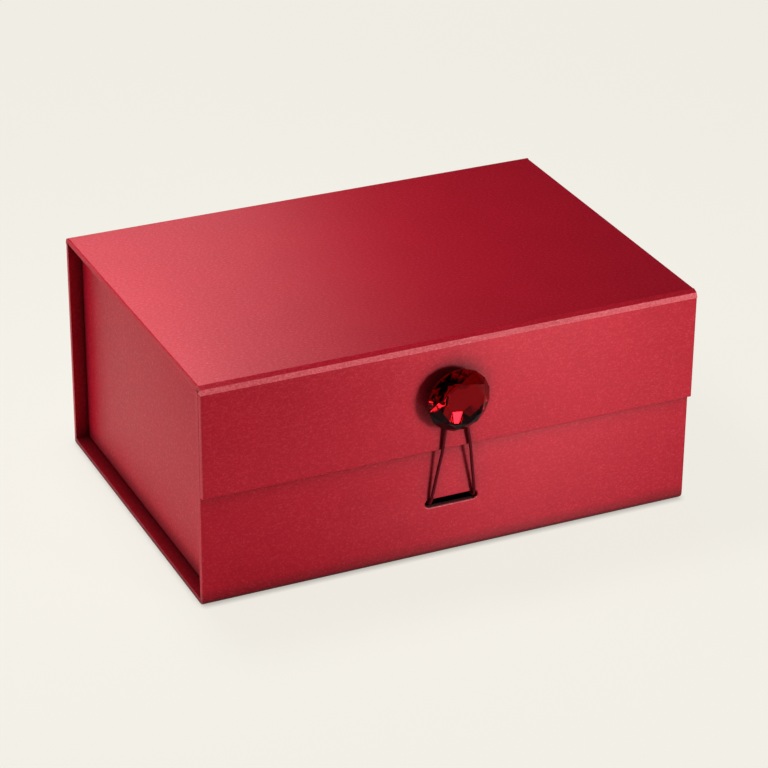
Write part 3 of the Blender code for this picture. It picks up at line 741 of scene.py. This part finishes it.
def disc_metal(name, colour, roughness):
    recipe = Recipe(name)
    place = recipe.put("ShaderNodeTexCoord", {}, {}, "Object")
    scuffs = recipe.put("ShaderNodeTexNoise", {}, {"Vector": place, "Scale": 1500.0,
                                                   "Detail": 2.0})
    shader = recipe.put("ShaderNodeBsdfPrincipled", {},
                        {"Base Color": colour, "Metallic": 1.0,
                         "Roughness": roughness + scuffs * 0.15}, "BSDF")
    return recipe.close(shader)


paint_nodes(disc_metal("nickel_plating", NICKEL, 0.18), "magnet_left", "magnet_right")
paint_nodes(disc_metal("disc_steel", STEEL, 0.30), "steel_disc_left", "steel_disc_right")


# Anchor bar: black plastic bar moulded with two holes. It lies behind the slot, and the knots
# at the elastic's ends bear on it.
BAR_BLACK = (0.006, 0.005, 0.006, 1.0)
BAR_SHEEN = (0.012, 0.010, 0.011, 1.0)
paint_nodes(plain_stock("moulded_bar", BAR_BLACK, BAR_SHEEN, 500.0, 0.6), "anchor_bar")


# Stone: a round brilliant moulded in clear garnet acrylic, with a foil coat on its back that
# throws the light out through the facets again. It is glued to a shank, whose foot is stuck
# to the flap with a thin pad.
STONE_LOW, STONE_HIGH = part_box("garnet_stone")
STONE_SHIFT = Vector((-0.0007, 0.0, 0.0))
STONE_MIDDLE = (STONE_LOW + STONE_HIGH) / 2 + STONE_SHIFT
STONE_RADIUS = 0.0144
TABLE_RADIUS = 0.0099
CULET_RADIUS = 0.00576
CROWN_MIDDLE_RADIUS = 0.0120
CROWN_HEIGHT = 0.00451
PAVILION_DEPTH = 0.00209
STONE_TURN = math.radians(13.3)
GIRDLE_SIDES = 16
FACET_FLATNESS = math.radians(0.2)
GARNET_TINT = (0.390, 0.0028, 0.0055, 1.0)
GARNET_SHINE = (0.08, 0.02, 0.05, 1.0)
FOIL = (0.603, 0.561, 0.543, 1.0)


def garnet_acrylic():
    recipe = Recipe("garnet_acrylic")
    place = recipe.put("ShaderNodeTexCoord", {}, {}, "Object")
    haze = recipe.put("ShaderNodeTexNoise", {}, {"Vector": place, "Scale": 700.0,
                                                 "Detail": 2.0})
    shader = recipe.put("ShaderNodeBsdfPrincipled", {},
                        {"Base Color": GARNET_TINT, "Roughness": haze * 0.05,
                         "IOR": 1.49, "Transmission Weight": 1.0,
                         "Specular Tint": GARNET_SHINE}, "BSDF")
    return recipe.close(shader)


def foil_coat():
    recipe = Recipe("foil_coat")
    place = recipe.put("ShaderNodeTexCoord", {}, {}, "Object")
    haze = recipe.put("ShaderNodeTexNoise", {}, {"Vector": place, "Scale": 900.0,
                                                 "Detail": 2.0})
    shader = recipe.put("ShaderNodeBsdfPrincipled", {},
                        {"Base Color": FOIL, "Metallic": 1.0,
                         "Roughness": 0.02 + haze * 0.08}, "BSDF")
    return recipe.close(shader)


def ring(bm, count, radius, y, start=0.0):
    """Corner points of one level of facets."""
    for step in range(count):
        angle = STONE_TURN + start + math.tau * step / count
        bm.verts.new((STONE_MIDDLE.x + radius * math.cos(angle), y,
                      STONE_MIDDLE.z + radius * math.sin(angle)))


def add_stone():
    bm = bmesh.new()
    mains = GIRDLE_SIDES // 2
    half = math.tau / GIRDLE_SIDES
    front_y = STONE_LOW.y + CROWN_HEIGHT
    back_y = STONE_HIGH.y - PAVILION_DEPTH
    slope = CROWN_HEIGHT / (STONE_RADIUS - TABLE_RADIUS)
    middle_y = front_y - slope * (STONE_RADIUS - CROWN_MIDDLE_RADIUS * math.cos(half))
    ring(bm, mains, TABLE_RADIUS, STONE_LOW.y)
    ring(bm, mains, CROWN_MIDDLE_RADIUS, middle_y, half)
    ring(bm, GIRDLE_SIDES, STONE_RADIUS, front_y)
    ring(bm, GIRDLE_SIDES, STONE_RADIUS, back_y)
    ring(bm, mains, CULET_RADIUS, STONE_HIGH.y)
    bmesh.ops.convex_hull(bm, input=bm.verts)
    bmesh.ops.dissolve_limit(bm, angle_limit=FACET_FLATNESS, verts=bm.verts, edges=bm.edges)
    bmesh.ops.recalc_face_normals(bm, faces=bm.faces)
    for face in bm.faces:
        if face.calc_center_median().y > back_y:
            face.material_index = 1
    stone = add_piece("garnet_brilliant", bm, garnet_acrylic(), 0.0)
    stone.data.materials.append(foil_coat())
    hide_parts("garnet_stone")
    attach(stone, "flap")


add_stone()
paint_nodes(plain_stock("shank_plastic", BAR_BLACK, BAR_SHEEN, 500.0, 0.35), "stone_shank")
paint_nodes(plain_stock("stone_pad", TAPE_DEEP, TAPE_PALE, 900.0, 0.8), "stone_pad")


# Elastic loop: thin rubber cord braided over with dark thread. Its two ends are knotted behind
# the bar, and it comes out through the slot and goes round the stone's shank.
CORD_RADIUS = 0.0007
CORD_SIDES = 14
CORD_STEP = 0.0006
CORD_GAP = 0.0003
CORD_CLEAR = CORD_GAP + CORD_RADIUS
STRAND_SPREAD = 0.0103
KNOT_RADIUS = 0.0016
BAR_THICKNESS = 0.0020
SHANK_RADIUS = 0.0019
HOOK_BACK = 0.00215
SHANK_LOW, SHANK_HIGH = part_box("stone_shank")
SHANK_MIDDLE = (SHANK_LOW + SHANK_HIGH) / 2
HOOK_RADIUS = SHANK_RADIUS + CORD_CLEAR
HOOK_STEPS = 16
FOOT_SHARE = 0.64
HOOK_LEAN = math.atan2(STRAND_SPREAD * FOOT_SHARE - HOOK_RADIUS, SHANK_MIDDLE.z - FLAP_END)
BAR_FACE = FRONT + PANEL + CORD_GAP
KNOT_END = BAR_FACE + BAR_THICKNESS + CORD_GAP
KNOT_TAIL = 0.12
BRAID_PITCH = 0.0042
BRAID_THREADS = 8.0
CORD_WINE = (0.170, 0.003, 0.012, 1.0)
CORD_DARK = (0.060, 0.001, 0.004, 1.0)


def braided_cord():
    recipe = Recipe("braided_cord")
    strip = recipe.put("ShaderNodeUVMap", {"uv_map": "braid"}, {}, "UV")
    around = recipe.put("ShaderNodeSeparateXYZ", {}, {"Vector": strip}, "X")
    along = recipe.put("ShaderNodeSeparateXYZ", {}, {"Vector": strip}, "Y")
    around = around * (BRAID_THREADS / 2.0)
    over = recipe.put("ShaderNodeMath", {"operation": "SINE"},
                      {0: (around + along) * math.tau})
    under = recipe.put("ShaderNodeMath", {"operation": "SINE"},
                       {0: (around - along) * math.tau})
    threads = over.larger(under)
    place = recipe.put("ShaderNodeTexCoord", {}, {}, "Object")
    fuzz = recipe.put("ShaderNodeTexNoise", {}, {"Vector": place, "Scale": 5200.0,
                                                 "Detail": 2.0})
    colour = recipe.put("ShaderNodeMix", {"data_type": "RGBA"},
                        {0: threads * 0.35 + fuzz * 0.6, 6: CORD_DARK, 7: CORD_WINE}, 2)
    bump = recipe.put("ShaderNodeBump", {}, {"Strength": 0.7, "Distance": 0.00008,
                                             "Height": threads + fuzz * 0.5}, "Normal")
    shader = recipe.put("ShaderNodeBsdfPrincipled", {},
                        {"Base Color": colour, "Roughness": 0.62, "Specular IOR Level": 0.12,
                         "Normal": bump}, "BSDF")
    return recipe.close(shader)


def hook_point(angle):
    """Point on the loop's arc round the shank."""
    return Vector((SHANK_MIDDLE.x + HOOK_RADIUS * math.cos(angle), FLAP_FACE - HOOK_BACK,
                   SHANK_MIDDLE.z + HOOK_RADIUS * math.sin(angle)))


def strand_route(side):
    """Points of one strand from its knot inside the box up to the stone's shank."""
    slot_top = SLOT_LEVEL + SLOT_HEIGHT / 2
    spread = side * STRAND_SPREAD
    foot = Vector((spread * FOOT_SHARE, FLAP_FACE - CORD_CLEAR, FLAP_END))
    hook = hook_point(HOOK_LEAN if side > 0 else math.pi - HOOK_LEAN)
    route = [Vector((spread, KNOT_END + 2 * KNOT_RADIUS, SLOT_LEVEL)),
             Vector((spread, BAR_FACE, SLOT_LEVEL)),
             Vector((spread, FRONT + PANEL / 2, SLOT_LEVEL + 0.0002)),
             Vector((spread, FRONT - 0.0001, slot_top - CORD_CLEAR - 0.0003)),
             Vector((spread * 0.985, FRONT - CORD_CLEAR - 0.0002, slot_top + 0.0006)),
             Vector((spread * 0.96, FRONT - CORD_CLEAR - 0.0007, slot_top + 0.0030))]
    start = route[-1]
    for share in (0.33, 0.66):
        route.append(start.lerp(foot, share))
    route.append(foot + Vector((side * 0.0001, 0.0, -0.0008)))
    route.append(foot + Vector((-side * 0.0002, 0.0, 0.0012)))
    for share in (0.25, 0.5, 0.75, 1.0):
        route.append(foot.lerp(hook, share))
    return route


def smooth_points(route, step):
    """Points a step apart on a smooth curve that passes through the route."""
    padded = [route[0] * 2 - route[1]] + route + [route[-1] * 2 - route[-2]]
    points = [route[0].copy()]
    for before, start, end, after in zip(padded, padded[1:], padded[2:], padded[3:]):
        length = (end - start).length
        count = max(1, round(length / step))
        pull_start = (end - before) * (length / ((end - start).length + (start - before).length))
        pull_end = (after - start) * (length / ((after - end).length + (end - start).length))
        for index in range(1, count + 1):
            t = index / count
            points.append(start * (2 * t ** 3 - 3 * t ** 2 + 1)
                          + pull_start * (t ** 3 - 2 * t ** 2 + t)
                          + end * (3 * t ** 2 - 2 * t ** 3)
                          + pull_end * (t ** 3 - t ** 2))
    return points


def cord_shape(points):
    """Turn of the cord, its length so far and its swelling at each point of its middle line."""
    turns = []
    lengths = []
    swells = []
    turn = (points[1] - points[0]).to_track_quat("Z", "Y")
    for index, spot in enumerate(points):
        before = points[max(0, index - 1)]
        way = (points[min(len(points) - 1, index + 1)] - before).normalized()
        turn = (turn @ Vector((0.0, 0.0, 1.0))).rotation_difference(way) @ turn
        turns.append(turn.copy())
        lengths.append((spot - before).length + (lengths[-1] if lengths else 0.0))
        inside = spot.y - KNOT_END
        share = min(1.0, max(KNOT_TAIL, inside / (2 * KNOT_RADIUS)))
        knot = (KNOT_RADIUS / CORD_RADIUS - 1.0) * math.sin(math.pi * share)
        swells.append(1.0 + knot if inside > 0 else 1.0)
    return turns, lengths, swells


def add_elastic():
    left, right = [smooth_points(strand_route(side), CORD_STEP) for side in (-1, 1)]
    sweep = math.pi - 2 * HOOK_LEAN
    arc = [hook_point(math.pi - HOOK_LEAN - sweep * index / HOOK_STEPS)
           for index in range(1, HOOK_STEPS)]
    points = left + arc + right[::-1]
    turns, lengths, swells = cord_shape(points)
    bm = bmesh.new()
    braid = bm.loops.layers.uv.new("braid")
    last = len(points) - 1
    bmesh.ops.create_grid(bm, x_segments=CORD_SIDES, y_segments=last, size=0.5, calc_uvs=True)
    for face in bm.faces:
        for loop in face.loops:
            u = loop.vert.co.x + 0.5
            index = round((loop.vert.co.y + 0.5) * last)
            loop[braid].uv = (u, lengths[index] / BRAID_PITCH)
    for vert in bm.verts:
        angle = math.tau * (vert.co.x + 0.5)
        index = round((vert.co.y + 0.5) * last)
        reach = Vector((math.cos(angle), math.sin(angle), 0.0)) * CORD_RADIUS * swells[index]
        vert.co = points[index] + turns[index] @ reach
    bmesh.ops.remove_doubles(bm, verts=bm.verts, dist=0.000001)
    bmesh.ops.holes_fill(bm, edges=[edge for edge in bm.edges if edge.is_boundary], sides=0)
    bmesh.ops.recalc_face_normals(bm, faces=bm.faces)
    elastic = add_piece("braided_elastic", bm, braided_cord(), 60.0)
    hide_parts("elastic_loop")
    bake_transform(elastic)


add_elastic()
